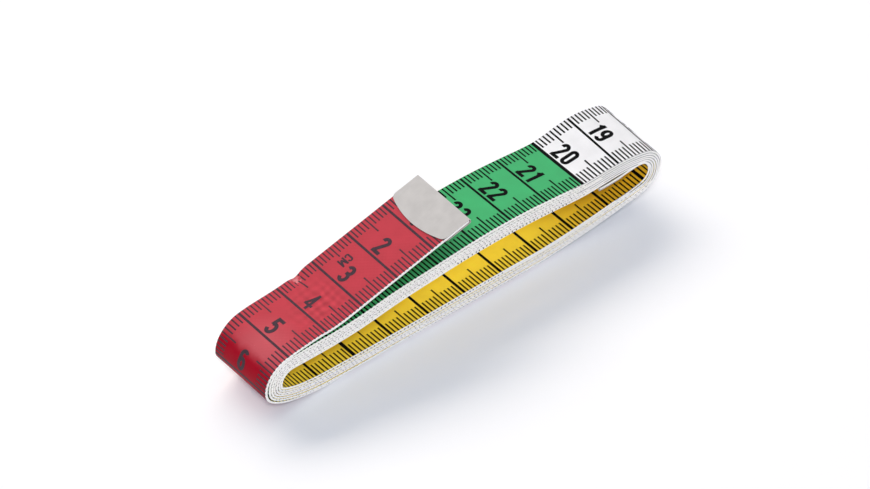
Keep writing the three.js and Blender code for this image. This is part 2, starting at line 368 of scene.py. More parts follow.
# A Map Range node takes its span in inputs 1 and 2, and the values that it gives in 3 and 4.
NOISE_SPAN, NONE_TO_FULL = {1: 0.3, 2: 0.7}, {3: 0.0, 4: 1.0}
# Over the creases the colour goes up to a fifth lighter and darker: painted highlight and shade.
CREASE_SPAN, CREASE_PAINTED_SHADING = {1: -1.0, 2: 1.0}, {3: 0.81, 4: 1.19}
RUB_SPAN, RUB_LEVEL = {1: 0.3, 2: 0.5}, {3: 0.0, 4: 0.5}
BLEND, TINT = {"data_type": "RGBA"}, {"data_type": "RGBA", "blend_type": "MULTIPLY"}


def lattice(tree, place, first, second):
    """The product of two waves; each argument is a direction times the wave's turn per millimetre."""
    waves = []
    for turn in (first, second):
        phase = add(tree, "ShaderNodeVectorMath", {0: place, 1: turn}, operation="DOT_PRODUCT")
        waves.append(add(tree, "ShaderNodeMath", {0: phase.outputs["Value"]}, operation="SINE"))
    return add(tree, "ShaderNodeMath", {0: waves[0], 1: waves[1]}, operation="MULTIPLY")


def near_place(tree, place, centre, inner, outer):
    away = add(tree, "ShaderNodeVectorMath", {0: place, 1: centre}, operation="DISTANCE")
    return add(tree, "ShaderNodeMapRange", {0: away.outputs["Value"], 1: outer, 2: inner, **NONE_TO_FULL})


def creased(tree, place, wander, colour, normal):
    turn = math.pi * math.sqrt(2) / CREASE_MM
    diamonds = lattice(tree, wander, (turn, turn, 0), (turn, -turn, 0))
    held = near_place(tree, place, CREASE_AT, *CREASE_REACH)
    creases = add(tree, "ShaderNodeMath", {0: diamonds, 1: held}, operation="MULTIPLY")
    # The diamonds lighten and darken the colour: painted highlight and shade on the creases. The bump below is
    # the real relief.
    shade = add(tree, "ShaderNodeMapRange", {0: creases, **CREASE_SPAN, **CREASE_PAINTED_SHADING})
    tinted = add(tree, "ShaderNodeMix", {"Factor": 1.0, "A": colour, "B": shade}, **TINT)
    bump = add(tree, "ShaderNodeBump", {"Height": creases, "Normal": normal, **CREASE_BUMP})
    return tinted.outputs["Result"], bump


def scuffed(tree, place, wander, colour, scuff_and_sheen_colour):
    scratch = add(tree, "ShaderNodeTexNoise", {"Vector": place, "Scale": 1 / SCUFF_MM, "Detail": 3.0})
    rubbed = near_place(tree, place, RUB_AT, *RUB_REACH)
    rub = add(tree, "ShaderNodeMath", {0: rubbed, 1: scratch}, operation="MULTIPLY")
    bare = add(tree, "ShaderNodeMapRange", {0: rub, **RUB_SPAN, **RUB_LEVEL})
    # A painted sheen pales the top of the bend; the scratchy pale patch at the dent is the scuffed coat.
    sheen_place = near_place(tree, wander, PAINTED_SHEEN_AT, *PAINTED_SHEEN_REACH)
    pale = add(tree, "ShaderNodeMath", {0: sheen_place, 1: PAINTED_SHEEN, 2: bare}, operation="MULTIPLY_ADD")
    mixed = add(tree, "ShaderNodeMix", {"Factor": pale, "A": colour, "B": linear(scuff_and_sheen_colour)}, **BLEND)
    return mixed.outputs["Result"]


# The colour darkens past a place along the strip: painted shade, for the red's bend and the yellow's tight
# inner bend, which get less light.
def deepened(tree, wander, colour, shade_colour, span):
    along_strip = add(tree, "ShaderNodeSeparateXYZ", {0: wander})
    into_shade = add(tree, "ShaderNodeMapRange", {0: along_strip, 1: span[0], 2: span[1], **NONE_TO_FULL},
                interpolation_type="SMOOTHSTEP")
    mixed = add(tree, "ShaderNodeMix", {"Factor": into_shade, "A": colour, "B": linear(shade_colour)}, **BLEND)
    return mixed.outputs["Result"]


print(f"creases {CREASE_MM} mm apart, scuffs {SCUFF_MM} mm")

# %% Coated cloth materials
THREAD_MM, MOTTLE_MM, PATCH_MM, WANDER_MM = 1.1, 4.0, 14.0, 2.5
WEAVE_BUMP = {"Strength": 0.12, "Distance": 0.05 * MM}
PATCH_SPAN, PATCH_LEVEL = {1: 0.4, 2: 0.65}, {3: 0.1, 4: 1.0}
MOTTLE_SHADE, SATIN = {3: 0.95, 4: 1.05}, {3: 0.38, 4: 0.52}
# Where the red darkens round the left bend: painted shade.
RED_PAINTED_SHADE = (54.5, 57.5)
# Where the yellow turns amber in the tight inner bend: painted shade.
YELLOW_PAINTED_SHADE = (STRIP_LENGTH - 46, STRIP_LENGTH - 22)


def coated_cloth(name, colour, scuff_and_sheen_colour=None, shade_colour=None, shade_span=None):
    material, tree = new_material(name)
    place = add(tree, "ShaderNodeUVMap", uv_map="strip")
    turn = 2 * math.pi / THREAD_MM
    weave = lattice(tree, place, (turn, 0, 0), (0, turn, 0))
    patches = add(tree, "ShaderNodeTexNoise", {"Vector": place, "Scale": 1 / PATCH_MM})
    showing = add(tree, "ShaderNodeMapRange", {0: patches, **PATCH_SPAN, **PATCH_LEVEL})
    threads = add(tree, "ShaderNodeMath", {0: weave, 1: showing}, operation="MULTIPLY")
    normal = add(tree, "ShaderNodeBump", {"Height": threads, **WEAVE_BUMP})
    mottle = add(tree, "ShaderNodeTexNoise", {"Vector": place, "Scale": 1 / MOTTLE_MM, "Detail": 4.0})
    rough = add(tree, "ShaderNodeMapRange", {0: mottle, **NOISE_SPAN, **SATIN})
    shade = add(tree, "ShaderNodeMapRange", {0: mottle, **NOISE_SPAN, **MOTTLE_SHADE})
    tinted = add(tree, "ShaderNodeMix", {"Factor": 1.0, "A": linear(colour), "B": shade}, **TINT)
    colour = tinted.outputs["Result"]
    wander = add(tree, "ShaderNodeVectorMath", {0: mottle, 1: (WANDER_MM, WANDER_MM, 0), 2: place},
                 operation="MULTIPLY_ADD")
    if scuff_and_sheen_colour:
        colour, normal = creased(tree, place, wander, colour, normal)
        colour = scuffed(tree, place, wander, colour, scuff_and_sheen_colour)
    if shade_colour:
        colour = deepened(tree, wander, colour, shade_colour, shade_span)
    surface = add(tree, "ShaderNodeBsdfPrincipled",
                  {"Base Color": colour, "Roughness": rough, "Normal": normal, "IOR": 1.5,
                   "Specular IOR Level": 0.1})
    add(tree, "ShaderNodeOutputMaterial", {"Surface": surface})
    return material


# The red's pale colour serves its scuff and a painted sheen; its darker red is painted shade round the bend.
red_face = coated_cloth("vinyl-coated cloth, red", "C34450", "EBA9AF", "A60020", RED_PAINTED_SHADE)
white_face = coated_cloth("vinyl-coated cloth, white", "F2F4F8")
green_face = coated_cloth("vinyl-coated cloth, green", "48B474")
# Its amber is painted shade, where little light gets into the bend.
yellow_face = coated_cloth("vinyl-coated cloth, yellow", "FFE548", shade_colour="F0C02C", shade_span=YELLOW_PAINTED_SHADE)
decade_faces = [red_face, white_face, green_face]
print("cloth:", [m.name for m in decade_faces], yellow_face.name)

# %% [markdown]
# ## Cut edge and ink
# Slitting the wide cloth leaves a matt white edge, which looks slightly grainy because cut threads end in it.
# Over the top of the right end, where the laps lie tight, the rounded rims are grey: painted shade in the
# grooves between laps. The ink is a thin film with hardly any gloss, so it stays black in bright light. On red
# it lets a little of the ground through, so it reads as a warm dark grey. One function serves all such plain
# finishes.

# %% Edge and ink materials
GRAIN_BUMP = {"Strength": 0.1, "Distance": 0.02 * MM}
ROUGH_SPREAD = 0.06


def plain_finish(name, colour, spread, grain_mm, rough, gloss=0.5):
    material, tree = new_material(name)
    place = add(tree, "ShaderNodeTexCoord").outputs["Object"]
    grain = add(tree, "ShaderNodeTexNoise", {"Vector": place, "Scale": 1 / (grain_mm * MM), "Detail": 3.0})
    shade = add(tree, "ShaderNodeMapRange", {0: grain, **NOISE_SPAN, 3: 1 - spread, 4: 1 + spread})
    base = add(tree, "ShaderNodeMix", {"Factor": 1.0, "A": linear(colour), "B": shade}, **TINT)
    dull = add(tree, "ShaderNodeMapRange",
               {0: grain, **NOISE_SPAN, 3: rough - ROUGH_SPREAD, 4: rough + ROUGH_SPREAD})
    bump = add(tree, "ShaderNodeBump", {"Height": grain, **GRAIN_BUMP})
    surface = add(tree, "ShaderNodeBsdfPrincipled",
                  {"Base Color": base.outputs["Result"], "Roughness": dull, "Normal": bump,
                   "Specular IOR Level": gloss})
    add(tree, "ShaderNodeOutputMaterial", {"Surface": surface})
    return material


cut_edge = plain_finish("slit cloth edge, white", "F8F7F6", 0.05, grain_mm=0.35, rough=0.7, gloss=0.2)
# The grey rim finish is painted shade between the tight laps.
rim_shade_finish = plain_finish("slit cloth rim, painted shade", "A6A7AC", 0.1, grain_mm=0.5, rough=0.7, gloss=0.2)
black_ink = plain_finish("printing ink, black", "070709", 0.2, grain_mm=0.6, rough=0.5, gloss=0.05)
red_ink = plain_finish("printing ink on red", "43343D", 0.2, grain_mm=0.6, rough=0.5, gloss=0.15)
print("edges and inks:", [m.name for m in (cut_edge, rim_shade_finish, black_ink, red_ink)])

# %% [markdown]
# ## The strip
# The strip could be a flat mesh with a Curve modifier, but the colour of each face depends on its decade, so
# the mesh is built ring by ring along the path: closer together in the bends, and one ring on each decade
# line. The front's colour is printed a hair towards the far side, so a thin bare margin shows at the near
# edge. The strip is cut into six stretches, because a piece can bend across one hinge only. Each cut lies in
# the middle of a stiff stretch, where both sides move alike.

# %% Section of the strip
EDGE_ROUND = 0.09
BARE_MARGIN = 0.12
FACE_COLUMNS = 12

half_width, half_thickness = TAPE_WIDTH / 2, TAPE_THICKNESS / 2
flat_half = half_width - EDGE_ROUND
columns = np.r_[-flat_half, np.linspace(BARE_MARGIN - flat_half, flat_half, FACE_COLUMNS - 1)]
side = half_thickness - EDGE_ROUND
section = (
    [(y, half_thickness) for y in columns]
    + [(half_width, side), (half_width, -side)]
    + [(y, -half_thickness) for y in columns[::-1]]
    + [(-half_width, -side), (-half_width, side)]
)
front_faces = range(1, FACE_COLUMNS - 1)
back_faces = range(FACE_COLUMNS + 2, 2 * FACE_COLUMNS + 1)
rounded_faces = (FACE_COLUMNS - 1, FACE_COLUMNS + 1, 2 * FACE_COLUMNS + 1, 2 * FACE_COLUMNS + 3)
print(len(section), "points round the section")

# %% Strip mesh
# Over the top of the right end the rounded rims turn grey: painted shade in the grooves between the tight
# laps.
SHADED_RIM_FROM_X, SHADED_RIM_OVER_Z = 30.0, 6.0
SHADED_RIM_STAGGER, SHADED_RIM_SPREAD = 4.0, 11.0
RING_TURN = math.radians(3)
RING_LENGTH, FLEX_RING_LENGTH = 1.0, 0.4
DECADE = 100.0
SHARP = math.radians(35)
STRIP_FINISHES = (*decade_faces, yellow_face, cut_edge, rim_shade_finish)
BACK_SLOT, EDGE_SLOT, SHADED_RIM_SLOT = 3, 4, 5


def ring_places(first, last, ring_length):
    places, turned = [first], np.interp(first, path_s, path_turn)
    for s in path_s[(path_s > first) & (path_s < last)]:
        turn = np.interp(s, path_s, path_turn)
        at_decade = abs((s + DECADE / 2) % DECADE - DECADE / 2) < PATH_STEP / 2
        if at_decade or abs(turn - turned) > RING_TURN or s - places[-1] > ring_length:
            places.append(round(s / DECADE) * DECADE if at_decade else s)
            turned = turn
    if last - places[-1] < PATH_STEP:
        places.pop()
    return np.array([*places, last])


def decade_face(s):
    return int(s // DECADE) % len(decade_faces)


def handled(s):
    """Whether the rims here are grey with painted shade: over the right end, from a place that differs by lap.
    """
    turn, x, z = (np.interp(s, path_s, values) for values in (path_turn, path_x, path_z))
    lap = round((turn - right_turn) / (2 * math.pi))
    return x > SHADED_RIM_FROM_X + lap * SHADED_RIM_STAGGER % SHADED_RIM_SPREAD and z > SHADED_RIM_OVER_Z


def soften(mesh):
    mesh.polygons.foreach_set("use_smooth", [True] * len(mesh.polygons))
    mesh.set_sharp_from_angle(angle=SHARP)


def strip_piece(name, first, last, bodies):
    places = ring_places(first, last, FLEX_RING_LENGTH if bodies else RING_LENGTH)
    ys, ns = np.array(section).T
    count = len(section)
    flat = [np.repeat(places, count), np.tile(ys, len(places)), np.tile(ns, len(places))]
    faces, slots = [list(range(count))], [EDGE_SLOT]
    for ring in range(len(places) - 1):
        front = decade_face((places[ring] + places[ring + 1]) / 2)
        # Rims over the right end take the grey finish, painted shade between laps.
        rounded = SHADED_RIM_SLOT if bodies is None and handled(places[ring]) else EDGE_SLOT
        for k in range(count):
            a, b = ring * count + k, ring * count + (k + 1) % count
            faces.append([a, a + count, b + count, b])
            rim = rounded if k in rounded_faces else EDGE_SLOT
            slots.append(front if k in front_faces else BACK_SLOT if k in back_faces else rim)
    faces.append(list(range(len(flat[0]) - count, len(flat[0])))[::-1])
    slots.append(EDGE_SLOT)
    mesh = new_mesh(name, wound(*flat), faces, STRIP_FINISHES, slots)
    strip_map = mesh.uv_layers.new(name="strip")
    corners = np.empty(len(mesh.loops), int)
    mesh.loops.foreach_get("vertex_index", corners)
    strip_map.data.foreach_set("uv", np.stack([flat[0][corners], flat[1][corners]], 1).ravel())
    soften(mesh)
    print(f"{name}: {last - first:.1f} mm, {len(places)} rings")
    return new_object(name, mesh)


print(f"rings {RING_LENGTH} mm apart, {FLEX_RING_LENGTH} mm where the strip bends")

# %% The six stretches
ZONE = FLEXURE_SPACING / 2
FLEXURES = [TIP_SEGMENT + FLEXURE_SPACING * k for k in range(4)]
INNER_FLEXURE = STRIP_LENGTH - INNER_LENGTH
INNER_ZONE = 1.6
INNER_STRETCH = 18.0
TAPE_INSET = 0.05
CHAIN = ["free_end_4", "free_end_3", "free_end_2", "free_end_1", "coil"]

cuts = [TAPE_INSET, *[s + ZONE for s in FLEXURES]]
inner_cut, inner_end = STRIP_LENGTH - INNER_STRETCH, STRIP_LENGTH - TAPE_INSET
stretches = []
for k, name in enumerate(["tape_tip", "tape_bend_3", "tape_bend_2", "tape_bend_1"]):
    bodies = (CHAIN[k + 1], CHAIN[k], FLEXURES[k] + ZONE, FLEXURES[k] - ZONE)
    stretches.append((name, cuts[k], cuts[k + 1], bodies, f"tape_free_end_{4 - k}", "tape_red"))
stretches.append(("tape_wound", cuts[-1], inner_cut, None, "tape_coil", "tape_white"))
bodies = ("coil", "inner_end", INNER_FLEXURE - INNER_ZONE, INNER_FLEXURE + INNER_ZONE)
stretches.append(("tape_inner_tip", inner_cut, inner_end, bodies, "tape_inner_end", "tape_green"))

strips = {name: strip_piece(name, first, last, bodies) for name, first, last, bodies, *_ in stretches}

# %% [markdown]
# ## The printed scale
# Fifteen hundred millimetre marks are a job for Geometry Nodes: a line of points, one per millimetre, with a
# thin bar on each. The mark's number decides its length and width: every tenth is a line across the strip,
# every fifth is longer than its neighbours. The bars are laid out flat, in millimetres, then wound. Whole
# bars go only on faces that can be seen: the outside of the outermost lap and the inside of the innermost
# one. Between laps the eye finds just the ends of the marks, where ink ran over the slit edge: rows of small
# uneven dots. The same tree sets those on both rims, each moved and sized by its own random number.

# %% The tree of marks
INK = 0.03
PRINT_INSET = 0.2
SHORT_BAR_POINTS, LONG_BAR_POINTS = 5, 13
NEAREST = 0.5
mark_sizes = {
    "Zero": 0.0, "Direction": 1.0, "First": 1, "Marks": 10, "Surface": half_thickness,
    "Width": TAPE_WIDTH - PRINT_INSET, "Near": 3.4, "Near five": 5.25, "Far": 2.72, "Far five": 4.65,
    "Tick": 0.4, "Centimetre": 0.56, "Decade": 0.85, "Ink": INK, "Unit at": 25, "Beside unit": 3.55,
    "Rim": half_width, "Rim tick": 0.28, "Proud": 0.03, "Run over": 0.0, "Least run": 0.1, "Astray": 0.25,
    "Only rims": 0, "Seed": 7,
}


def new_tree(name, sizes):
    tree = bpy.data.node_groups.new(name, "GeometryNodeTree")
    tree.interface.new_socket("Geometry", in_out="OUTPUT", socket_type="NodeSocketGeometry")
    for label, value in sizes.items():
        kind = "NodeSocketInt" if isinstance(value, int) else "NodeSocketFloat"
        tree.interface.new_socket(label, in_out="INPUT", socket_type=kind).default_value = value
    tree.interface.new_socket("Material", in_out="INPUT", socket_type="NodeSocketMaterial")
    return tree, add(tree, "NodeGroupInput").outputs


mark_tree, given = new_tree("printed marks", mark_sizes)
tree = mark_tree
start = add(tree, "ShaderNodeMath", {0: given["Direction"], 1: given["First"], 2: given["Zero"]},
            operation="MULTIPLY_ADD")
start_at = add(tree, "ShaderNodeCombineXYZ", {"X": start, "Z": given["Surface"]})
step = add(tree, "ShaderNodeCombineXYZ", {"X": given["Direction"]})
line = add(tree, "GeometryNodeMeshLine",
           {"Count": given["Marks"], "Start Location": start_at, "Offset": step})
number = add(tree, "ShaderNodeMath", {0: add(tree, "GeometryNodeInputIndex"), 1: given["First"]})
is_every = {}
for every in (5, 10, 100):
    left_over = add(tree, "ShaderNodeMath", {0: number, 1: every}, operation="MODULO")
    is_every[every] = add(tree, "ShaderNodeMath", {0: left_over, 1: 0.0, 2: NEAREST}, operation="COMPARE")
at_unit = add(tree, "ShaderNodeMath", {0: number, 1: given["Unit at"], 2: NEAREST}, operation="COMPARE")
shown = add(tree, "ShaderNodeMath", {0: 1.0, 1: given["Only rims"]}, operation="SUBTRACT")
whole = add(tree, "ShaderNodeMath", {0: shown, 1: is_every[10]}, operation="MULTIPLY")
ticked = add(tree, "ShaderNodeMath", {0: shown, 1: is_every[10]}, operation="GREATER_THAN")
runs = add(tree, "ShaderNodeMath", {0: given["Run over"], 1: 0.0}, operation="GREATER_THAN")
inside = add(tree, "ShaderNodeMath", {0: given["Surface"]}, operation="SIGN")
half_inside = add(tree, "ShaderNodeMath", {0: inside, 1: -0.5}, operation="MULTIPLY")
least_astray = add(tree, "ShaderNodeMath", {0: given["Astray"], 1: -1.0}, operation="MULTIPLY")
short_bar = add(tree, "GeometryNodeMeshCube", {"Size": (1, 1, 1), "Vertices Y": SHORT_BAR_POINTS})
long_bar = add(tree, "GeometryNodeMeshCube", {"Size": (1, 1, 1), "Vertices Y": LONG_BAR_POINTS})
end_dot = add(tree, "GeometryNodeMeshCube", {"Size": (1, 1, 1)})
print(len(mark_sizes), "sizes of the marks can be set")

# %% Ticks on both edges, lines across


def bars_on_line(chosen, bar, aside, size):
    """Copies of a bar on the chosen points of the line, moved aside and scaled to a size."""
    aside = add(tree, "ShaderNodeCombineXYZ", dict(zip("XYZ", aside)))
    size = add(tree, "ShaderNodeCombineXYZ", dict(zip("XYZ", size)))
    moved = add(tree, "GeometryNodeSetPosition", {"Geometry": line, "Offset": aside})
    return add(tree, "GeometryNodeInstanceOnPoints",
               {"Points": moved, "Selection": chosen, "Instance": bar, "Scale": size})


printed = []
for edge, plain, fifth in ((-0.5, "Near", "Near five"), (0.5, "Far", "Far five")):
    length = add(tree, "ShaderNodeMix", {0: is_every[5], 2: given[plain], 3: given[fifth]})
    if plain == "Far":
        length = add(tree, "ShaderNodeMix", {0: at_unit, 2: length, 3: given["Beside unit"]})
    rim = add(tree, "ShaderNodeMath", {0: given["Width"], 1: edge}, operation="MULTIPLY")
    centre = add(tree, "ShaderNodeMath", {0: length, 1: -edge, 2: rim}, operation="MULTIPLY_ADD")
    printed.append(bars_on_line(ticked, short_bar, (0.0, centre, 0.0), (given["Tick"], length, given["Ink"])))
    ran = add(tree, "FunctionNodeRandomValue", {2: given["Least run"], 3: 1.0, 8: given["Seed"]})
    ran = add(tree, "ShaderNodeMath", {0: ran.outputs[1], 1: given["Run over"]}, operation="MULTIPLY")
    sunk = add(tree, "ShaderNodeMath", {0: ran, 1: half_inside}, operation="MULTIPLY")
    rim = add(tree, "ShaderNodeMath", {0: given["Rim"], 1: 2 * edge}, operation="MULTIPLY")
    astray = add(tree, "FunctionNodeRandomValue", {2: least_astray, 3: given["Astray"], 8: given["Marks"]})
    dot_size = (given["Rim tick"], given["Proud"], ran)
    printed.append(bars_on_line(runs, end_dot, (astray.outputs[1], rim, sunk), dot_size))
wide = add(tree, "ShaderNodeMix", {0: is_every[100], 2: given["Centimetre"], 3: given["Decade"]})
printed.append(bars_on_line(whole, long_bar, (0.0, 0.0, 0.0), (wide, given["Width"], given["Ink"])))
joined = add(tree, "GeometryNodeJoinGeometry")
for bars in printed:
    tree.links.new(bars.outputs[0], joined.inputs[0])
solid = add(tree, "GeometryNodeRealizeInstances", {0: joined})
inked = add(tree, "GeometryNodeSetMaterial", {"Geometry": solid, "Material": given["Material"]})
add(tree, "NodeGroupOutput", {0: inked})
print(len(tree.nodes), "nodes in the tree of marks")

# %% A plain mesh from the tree


def applied(carrier):
    """The plain mesh of an object with its modifiers applied; the object itself goes."""
    bpy.context.view_layer.update()
    made = bpy.data.meshes.new_from_object(carrier.evaluated_get(bpy.context.evaluated_depsgraph_get()))
    bpy.data.objects.remove(carrier)
    return made


def mesh_points(mesh):
    points = np.empty(3 * len(mesh.vertices))
    mesh.vertices.foreach_get("co", points)
    return points.reshape(-1, 3)


def marks_mesh(first, last, face, **sizes):
    """Flat points and faces of the marks between two places on one face."""
    ends = sorted((place - face["Zero"]) * face["Direction"] for place in (first, last))
    low, high = math.ceil(ends[0]), math.floor(ends[1])
    values = {**face, **sizes, "First": low, "Marks": high - low + 1, "Material": black_ink}
    carrier = new_object("carrier", bpy.data.meshes.new("carrier"))
    modifier = carrier.modifiers.new("tree", "NODES")
    modifier.node_group = mark_tree
    for label, value in values.items():
        modifier[mark_tree.interface.items_tree[label].identifier] = value
    made = applied(carrier)
    points, faces = mesh_points(made), [list(p.vertices) for p in made.polygons]
    bpy.data.meshes.remove(made)
    return points, faces


FRONT = {"Zero": 0.0, "Direction": 1.0, "Surface": half_thickness}
print("marks of one centimetre:", len(marks_mesh(1, 10, FRONT)[1]), "faces")

# %% [markdown]
# ## The numerals
# The numerals are bold, narrow and even in stroke, like road signs. No font is read from disk: each one is a
# few strokes, arcs and straight lines, drawn along its middle line and given its width as a thin closed slab.
# They stand on their centimetre line and read across the strip. The small unit mark uses the same strokes.

# %% Strokes of the numerals
STROKE = 0.85
GLYPH_WIDTH, GLYPH_HEIGHT = 1.45, 3.9
ARC_STEP = 15


def oval(cx, cy, rx, ry, first, last):
    steps = max(2, round(abs(last - first) / ARC_STEP))
    angles = np.radians(np.linspace(first, last, steps + 1))
    return [(cx + rx * math.cos(a), cy + ry * math.sin(a)) for a in angles]


W, H, R, E = GLYPH_WIDTH, GLYPH_HEIGHT, GLYPH_WIDTH / 2, STROKE / 2
six = [
    [*oval(R, H - R, R, R, 25, 180), (0, 1.1)],
    oval(R, 1.12, R, 1.12, 0, 360),
]
NUMERALS = {
    "0": [[*oval(R, H - R, R, R, 0, 180), *oval(R, R, R, R, 180, 360), (W, H - R)]],
    "1": [[(-0.02, H - 0.8), (0.64, H - 0.1)], [(0.72, H + E), (0.72, -E)]],
    "2": [[*oval(R, H - R, R, R, 190, -32), (0, 0.05)], [(-E, 0), (W + E, 0)]],
    "3": [
        oval(0.68, H - 0.92, 0.76, 0.92, 160, -90),
        oval(0.68, 1.06, 0.78, 1.06, 90, -160),
        [(0.3, 2.09), (0.8, 2.09)],
    ],
    "4": [[(1.02, H + 0.1), (-0.05, 1.0)], [(-E, 0.92), (W + E, 0.92)], [(1.02, H + E), (1.02, -E)]],
    "5": [
        [(-0.1, H), (W + 0.2, H)],
        [(0.05, H + E), (0.0, 2.0)],
        oval(0.64, 1.22, 0.82, 1.22, 140, -160),
    ],
    "6": six,
    "7": [[(-E, H), (W + E, H)], [(W - 0.02, H), (0.4, -E)]],
    "8": [oval(R, H - 0.92, 0.68, 0.92, 0, 360), oval(R, 1.05, 0.76, 1.05, 0, 360)],
    "9": [[(W - x, H - y) for x, y in stroke] for stroke in six],
    "C": [[(W, H - R - 0.3), *oval(R, H - R, R, R, 0, 180), *oval(R, R, R, R, 180, 360), (W, R + 0.3)]],
    "M": [[(0, -E), (0, H + E)], [(0.1, H), (1.1, 0.4)], [(1.1, 0.4), (2.1, H)], [(2.2, -E), (2.2, H + E)]],
}
GLYPH_REACH = {"1": 0.72, "C": 1.15, "M": 2.2}
LIGHTER = {"4": 0.75}
print("glyphs:", *NUMERALS)

# %% Strokes to thin slabs
STROKE_STEP = 0.4
LEAST_MITRE = 0.6


def in_steps(stroke):
    line = [stroke[0]]
    for a, b in zip(stroke, stroke[1:]):
        steps = max(1, math.ceil(math.dist(a, b) / STROKE_STEP))
        line += [np.add(a, np.subtract(b, a) * i / steps) for i in range(1, steps + 1)]
    return np.array(line, float)


def slab(stroke, width):
    """A thin closed ribbon along a stroke: corner points, and faces over, under and round it."""
    line = in_steps(stroke)
    ring = np.allclose(line[0], line[-1])
    steps = np.diff(line, axis=0)
    steps /= np.linalg.norm(steps, axis=1)[:, None]
    before = np.vstack([steps[-1] if ring else steps[0], steps])
    after = np.vstack([steps, steps[0] if ring else steps[-1]])
    normal = np.stack([-(before + after)[:, 1], (before + after)[:, 0]], 1)
    normal /= np.linalg.norm(normal, axis=1)[:, None]
    across = np.stack([-after[:, 1], after[:, 0]], 1)
    normal *= (width / 2 / np.maximum((normal * across).sum(1), LEAST_MITRE))[:, None]
    points = [(*p, h) for h in (INK / 2, -INK / 2) for side in (1, -1) for p in line + side * normal]
    k = len(line)
    faces = []
    for i in range(k - 1):
        a, b, c, d = i, i + k, i + 2 * k, i + 3 * k
        faces += [(a, b, b + 1, a + 1), (c, c + 1, d + 1, d), (a, a + 1, c + 1, c), (b, d, d + 1, b + 1)]
    if not ring:
        faces += [(0, 2 * k, 3 * k, k), (k - 1, 2 * k - 1, 4 * k - 1, 3 * k - 1)]
    return points, faces


print("a stroke across a glyph has", len(slab([(0, 0), (W, 0)], STROKE)[1]), "faces")

# %% Lay out the numbers
GLYPH_GAP = 0.5
LAYER = 0.006
NUMBER_BASE = 0.72
UNIT_LENGTH, UNIT_HEIGHT, UNIT_STROKE = 3.15, 2.2, 0.76
UNIT_FROM, UNIT_ASIDE = 23.2, 4.3


def word(text, weight=STROKE):
    """Points and faces of a line of glyphs, centred on its width, standing on its base."""
    points, faces, x = [], [], 0.0
    for glyph in text:
        for layer, stroke in enumerate(NUMERALS[glyph]):
            corners, sides = slab(stroke, weight * LIGHTER.get(glyph, 1))
            faces += [[i + len(points) for i in side] for side in sides]
            points += [(px + x + E, py + E, h + layer * LAYER) for px, py, h in corners]
        x += GLYPH_REACH.get(glyph, W) + STROKE + GLYPH_GAP
    points = np.array(points)
    points[:, 0] -= (x - GLYPH_GAP) / 2
    return points, faces


def number_on_line(text, line, upward, surface, aside):
    """A number that stands on a line of the scale and reads from the far edge to the near one."""
    points, faces = word(text)
    s = line + upward * (NUMBER_BASE + points[:, 1])
    return np.stack([s, aside - points[:, 0], surface + points[:, 2]], 1), faces


def unit_mark():
    points, faces = word("CM", UNIT_STROKE)
    points = points * (UNIT_LENGTH / np.ptp(points[:, 0]), UNIT_HEIGHT / np.ptp(points[:, 1]), 1)
    s = UNIT_FROM + points[:, 0] - points[:, 0].min()
    return np.stack([s, UNIT_ASIDE - points[:, 1], half_thickness + points[:, 2]], 1), faces


print(f"unit mark {UNIT_LENGTH} mm long, numerals {GLYPH_HEIGHT + STROKE} mm high")

# %% [markdown]
# ## Print on each stretch
# A picture could carry the print, but thin slabs of ink stay sharp and bend with their stretch. What is
# printed differs by place. The front has its numbers and, on red, finer ticks. The back is numbered from the
# other end. Between laps only dots are set, and none round the right end, where the laps lie tight.

# %% What each stretch carries
CENTIMETRE = 10
ONE_DIGIT_ASIDE, TWO_DIGIT_ASIDE, BACK_ASIDE = 0.27, 0.95, 1.8
FRONT_PRINT_END = 330.0
BACK_PRINT_FROM = 1225.0
BACK_TAIL_END = 70.0
BACK_ZERO = STRIP_LENGTH + 2.8
RED_TICK = 0.33
BACK = {"Zero": BACK_ZERO, "Direction": -1.0, "Surface": -half_thickness, "Unit at": -1,
        "Tick": 0.36, "Centimetre": 0.64}
BETWEEN_LAPS = {"Only rims": 1, "Run over": 0.085}
INNERMOST = {"Only rims": 1, "Run over": 0.34, "Least run": 0.6, "Astray": 0.15}
INNERMOST_RUNS = ((STRIP_LENGTH - 198, STRIP_LENGTH - 166), (STRIP_LENGTH - 110, STRIP_LENGTH - 55))
DOTS_TO_X, DOTS_UNDER_Z, SHORTEST_ROW = 33.0, 6.0, 2


def dotted(first, last, low, high):
    """The parts of a stretch, between two places, whose mark ends show: not the right end's bend and top."""
    places = np.arange(max(first, low), min(last, high))
    x, z = np.interp(places, path_s, path_x), np.interp(places, path_s, path_z)
    shows = np.r_[False, (x < DOTS_TO_X) | (z < DOTS_UNDER_Z), False]
    starts = np.flatnonzero(~shows[:-1] & shows[1:])
    ends = np.flatnonzero(shows[:-1] & ~shows[1:]) - 1
    return [(places[a], places[b]) for a, b in zip(starts, ends) if b - a > SHORTEST_ROW]


